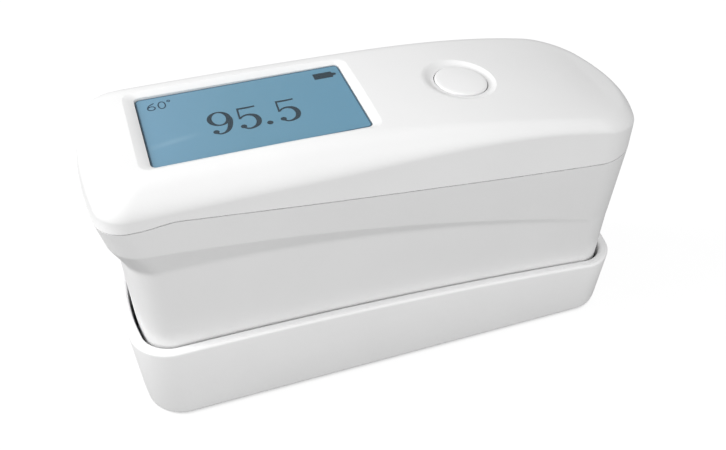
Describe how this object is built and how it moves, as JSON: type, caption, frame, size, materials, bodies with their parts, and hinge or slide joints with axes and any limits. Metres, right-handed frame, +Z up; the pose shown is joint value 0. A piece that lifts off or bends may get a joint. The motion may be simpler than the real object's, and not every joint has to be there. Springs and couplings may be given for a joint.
{
  "type": "gloss meter",
  "caption": "Pocket gloss meter with a display and a round button on top, standing in its calibration base.",
  "frame": {"origin": "centre of the underside of the calibration base's rubber pad", "axes": "+X along the meter from the display towards the button, +Z up from the surface it stands on, -Y the front flank"},
  "size_m": [0.1116, 0.0376, 0.0614],
  "materials": {
    "white_plastic": "satin moulded, fine grain",
    "black_plastic": "matte",
    "circuit_board": "solder resist",
    "steel": "plated",
    "clear_glass": "polished",
    "black_glass": "polished",
    "display_blue": "satin",
    "light_guide": "polished",
    "flex": "smooth film",
    "lamp": "polished",
    "foil": "satin",
    "rubber": "matte",
    "foam": "closed-cell foam",
    "lead": "satin",
    "plug": "matte",
    "plunger": "matte"
  },
  "bodies": {
    "meter": {"base_pad": "rubber", "base_plate": "white_plastic", "base_screw_1": "steel", "base_screw_2": "steel", "base_screw_3": "steel", "base_screw_4": "steel", "base_tray": "white_plastic", "battery": "foil", "battery_bracket": "black_plastic", "battery_lead": "lead", "battery_plug": "plug", "block_screw_1": "steel", "block_screw_2": "steel", "block_screw_3": "steel", "block_screw_4": "steel", "board_screw_1": "steel", "board_screw_2": "steel", "board_screw_3": "steel", "board_screw_4": "steel", "calibration_tile": "black_glass", "cover_screw_1": "steel", "cover_screw_2": "steel", "display_window": "clear_glass", "flex_connector": "black_plastic", "lcd_backlight": "light_guide", "lcd_flex": "flex", "lcd_frame": "black_plastic", "lcd_panel": "display_blue", "lower_housing": "white_plastic", "main_board": "circuit_board", "main_chip": "black_plastic", "optical_block": "black_plastic", "photodiode": "steel", "receiver_board": "circuit_board", "receiver_lead": "lead", "receiver_lens": "clear_glass", "receiver_plug": "plug", "receiver_slit": "black_plastic", "sole_plate": "black_plastic", "sole_screw_1": "steel", "sole_screw_2": "steel", "sole_screw_3": "steel", "sole_screw_4": "steel", "source_board": "circuit_board", "source_lead": "lead", "source_led": "lamp", "source_lens": "clear_glass", "source_plug": "plug", "source_slit": "black_plastic", "tact_switch": "black_plastic", "tile_pad": "foam", "upper_cover": "white_plastic", "usb_board": "circuit_board", "usb_lead": "lead", "usb_plug": "plug", "usb_socket": "steel"},
    "button": {"measure_button": "white_plastic", "switch_plunger": "plunger"}
  },
  "joints": [
    {"name": "button_press", "type": "slide", "parent": "meter", "child": "button", "axis": [-0.0958, 0, -0.9954], "range_m": [0, 0.0004], "stiffness_N_per_m": 1500}
  ]
}
